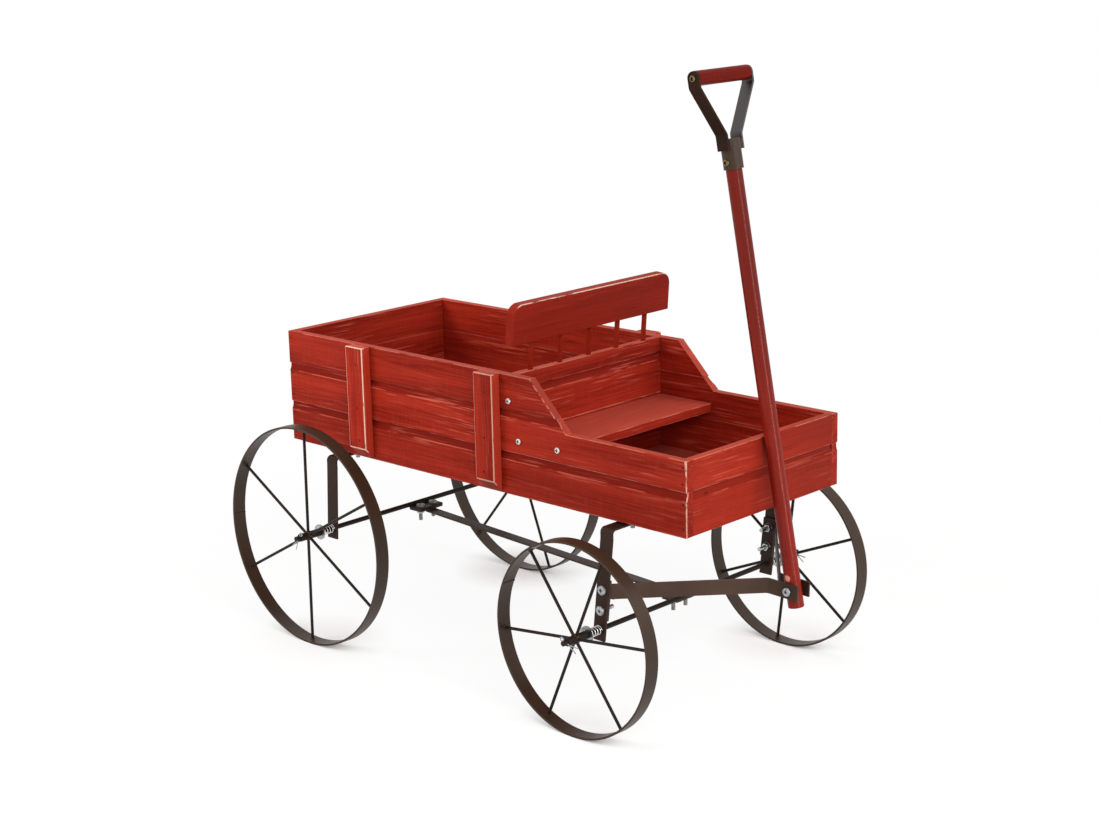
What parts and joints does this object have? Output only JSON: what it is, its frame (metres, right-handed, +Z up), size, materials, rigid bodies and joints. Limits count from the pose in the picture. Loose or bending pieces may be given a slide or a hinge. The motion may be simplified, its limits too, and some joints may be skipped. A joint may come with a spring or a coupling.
{
  "type": "wagon planter",
  "caption": "Pull wagon planter of red stained boards: planting boxes with a seat and backrest between them, on spoked strip-steel wheels, with a hinged pull handle.",
  "frame": {"origin": "on the ground under the middle of the whole wagon", "axes": "+X runs to the front, where the pull handle is, +Y to the wagon's left, +Z up"},
  "size_m": [0.6249, 0.344, 0.5921],
  "materials": {
    "stained_board": "red stain on rough sawn softwood, worn pale along the edges",
    "stained_backrest": "red stain on planed softwood",
    "stained_pole": "red stain on turned wood, satin",
    "coated_steel": "dark brown powder coat, fine satin texture",
    "zinc_steel": "bright zinc plating",
    "yellow_zinc_steel": "yellow passivated zinc plating"
  },
  "bodies": {
    "wagon": {"side_right_lower_board": "stained_board", "side_right_middle_board": "stained_board", "side_right_upper_board": "stained_board", "side_left_lower_board": "stained_board", "side_left_middle_board": "stained_board", "side_left_upper_board": "stained_board", "rear_wall_lower_board": "stained_board", "rear_wall_middle_board": "stained_board", "rear_wall_upper_board": "stained_board", "front_wall_lower_board": "stained_board", "front_wall_upper_board": "stained_board", "floor_board_left": "stained_board", "floor_board_middle": "stained_board", "floor_board_right": "stained_board", "divider_lower_board": "stained_board", "seat_back_lower_board": "stained_board", "seat_back_upper_board": "stained_board", "seat_board": "stained_board", "batten_right_rear": "stained_board", "batten_right_front": "stained_board", "batten_left_rear": "stained_board", "batten_left_front": "stained_board", "backrest_rail": "stained_backrest", "backrest_spindles": "stained_backrest", "rear_bracket": "coated_steel", "front_bracket": "coated_steel", "rear_axle": "coated_steel", "front_axle": "coated_steel", "reach_bar": "coated_steel", "drawbar_arm_right": "coated_steel", "drawbar_arm_left": "coated_steel", "axle_springs": "zinc_steel", "hub_washers": "zinc_steel", "split_pins": "zinc_steel", "bracket_bolts": "zinc_steel", "drawbar_bolts": "zinc_steel", "reach_bar_bolts": "zinc_steel", "hex_nuts": "zinc_steel", "seat_screws": "zinc_steel", "pivot_bolt": "zinc_steel"},
    "rear_right_wheel": {"rear_right_rim": "coated_steel", "rear_right_spokes": "coated_steel", "rear_right_hub": "coated_steel"},
    "rear_left_wheel": {"rear_left_rim": "coated_steel", "rear_left_spokes": "coated_steel", "rear_left_hub": "coated_steel"},
    "front_right_wheel": {"front_right_rim": "coated_steel", "front_right_spokes": "coated_steel", "front_right_hub": "coated_steel"},
    "front_left_wheel": {"front_left_rim": "coated_steel", "front_left_spokes": "coated_steel", "front_left_hub": "coated_steel"},
    "handle": {"handle_pole": "stained_pole", "handle_grip": "stained_pole", "ferrule": "coated_steel", "yoke_arm_right": "coated_steel", "yoke_arm_left": "coated_steel", "grip_screws": "yellow_zinc_steel", "ferrule_screw": "yellow_zinc_steel"}
  },
  "joints": [
    {"name": "rear_right_wheel_spin", "type": "hinge", "parent": "wagon", "child": "rear_right_wheel", "pos_m": [-0.19827, -0.1555, 0.1142], "axis": [0, 1, 0], "continuous": true},
    {"name": "rear_left_wheel_spin", "type": "hinge", "parent": "wagon", "child": "rear_left_wheel", "pos_m": [-0.19827, 0.1555, 0.1142], "axis": [0, 1, 0], "continuous": true},
    {"name": "front_right_wheel_spin", "type": "hinge", "parent": "wagon", "child": "front_right_wheel", "pos_m": [0.17423, -0.1555, 0.0925], "axis": [0, 1, 0], "continuous": true},
    {"name": "front_left_wheel_spin", "type": "hinge", "parent": "wagon", "child": "front_left_wheel", "pos_m": [0.17423, 0.1555, 0.0925], "axis": [0, 1, 0], "continuous": true},
    {"name": "handle_pivot", "type": "hinge", "parent": "wagon", "child": "handle", "pos_m": [0.30123, 0, 0.127], "axis": [0, 1, 0], "range_deg": [0, 110]}
  ]
}
